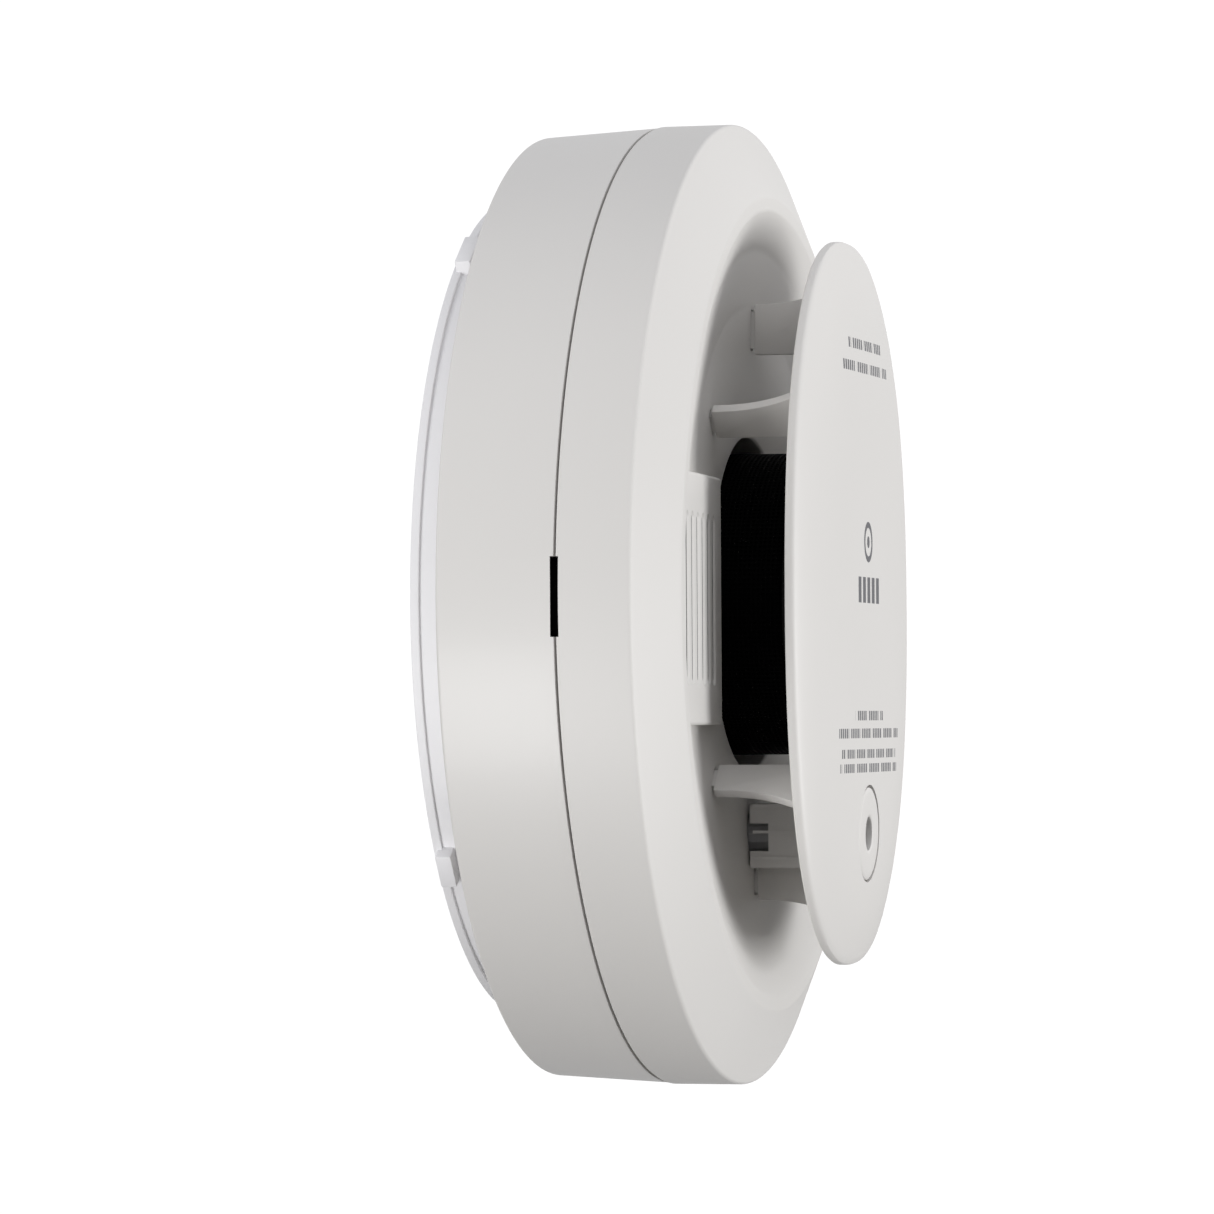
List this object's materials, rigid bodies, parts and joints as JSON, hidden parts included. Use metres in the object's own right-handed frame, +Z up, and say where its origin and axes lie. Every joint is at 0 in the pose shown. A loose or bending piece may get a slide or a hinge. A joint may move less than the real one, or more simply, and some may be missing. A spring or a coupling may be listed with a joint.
{
  "type": "smoke detector",
  "caption": "Round wall-mounted smoke alarm: twist-on bracket, white two-part shell, black optical chamber and an oval front plate on struts with a test button.",
  "frame": {"origin": "centre of the bracket's back face, on the wall plane", "axes": "+Y into the wall, front faces -Y, +Z up with the test button below the middle"},
  "size_m": [0.142, 0.0528, 0.142],
  "materials": {
    "white_gloss": "smooth, slightly glossy white",
    "white_grain": "fine moulded grain, white",
    "grey_plastic": "plain grey moulding",
    "black_plastic": "matte black moulding",
    "clear_plastic": "clear polished acrylic",
    "board_green": "green solder mask",
    "steel": "plated steel",
    "brass": "bare brass",
    "ceramic": "silvered ceramic",
    "nickel": "nickel plate",
    "cell_sleeve": "blue shrink sleeve",
    "paper": "blank label",
    "lamp_red": "tinted lens",
    "infrared_tint": "dark tinted lens",
    "copper": "enamelled copper winding"
  },
  "bodies": {
    "wall_bracket": {"mounting_bracket": "white_grain"},
    "detector": {"rear_housing": "white_gloss", "front_cover": "white_grain", "front_plate": "white_grain", "test_switch_body": "black_plastic", "status_led": "lamp_red", "circuit_board": "board_green", "microcontroller": "black_plastic", "boost_inductor": "copper", "capacitor_upper": "nickel", "capacitor_lower": "nickel", "housing_screw_1": "steel", "housing_screw_2": "steel", "housing_screw_3": "steel", "board_screw_1": "steel", "board_screw_2": "steel", "board_screw_3": "steel", "board_screw_4": "steel", "chamber_base": "black_plastic", "infrared_led": "infrared_tint", "photodiode": "black_plastic", "chamber_cover": "black_plastic", "insect_screen": "black_plastic", "sounder_housing": "black_plastic", "piezo_disc": "brass", "piezo_ceramic": "ceramic", "piezo_contact_outer": "brass", "piezo_contact_inner": "brass", "battery_cell": "cell_sleeve", "battery_tab_positive": "nickel", "battery_tab_negative": "nickel", "slide_switch_body": "nickel", "rating_label": "paper"},
    "button": {"test_button": "white_grain", "button_plunger": "grey_plastic", "light_pipe": "clear_plastic"},
    "switch_cap": {"test_switch_cap": "grey_plastic"},
    "slider": {"activation_slider": "grey_plastic"},
    "switch_lever": {"slide_switch_lever": "black_plastic"}
  },
  "joints": [
    {"name": "body_twist", "type": "hinge", "parent": "wall_bracket", "child": "detector", "pos_m": [0, 0, 0], "axis": [0, -1, 0], "range_deg": [0, 12]},
    {"name": "button_press", "type": "slide", "parent": "detector", "child": "button", "axis": [0, 1, 0], "range_m": [0, 0.0006], "stiffness_N_per_m": 1500, "springref_m": -0.0005},
    {"name": "switch_cap_press", "type": "slide", "parent": "detector", "child": "switch_cap", "axis": [0, 1, 0], "range_m": [0, 0.0006]},
    {"name": "slider_slide", "type": "slide", "parent": "detector", "child": "slider", "axis": [1, 0, 0], "range_m": [0, 0.004]},
    {"name": "lever_slide", "type": "slide", "parent": "detector", "child": "switch_lever", "axis": [1, 0, 0], "range_m": [0, 0.004]}
  ],
  "couplings": [
    {"joint": "switch_cap_press", "follows": "button_press", "ratio": 1},
    {"joint": "lever_slide", "follows": "slider_slide", "ratio": 1}
  ]
}
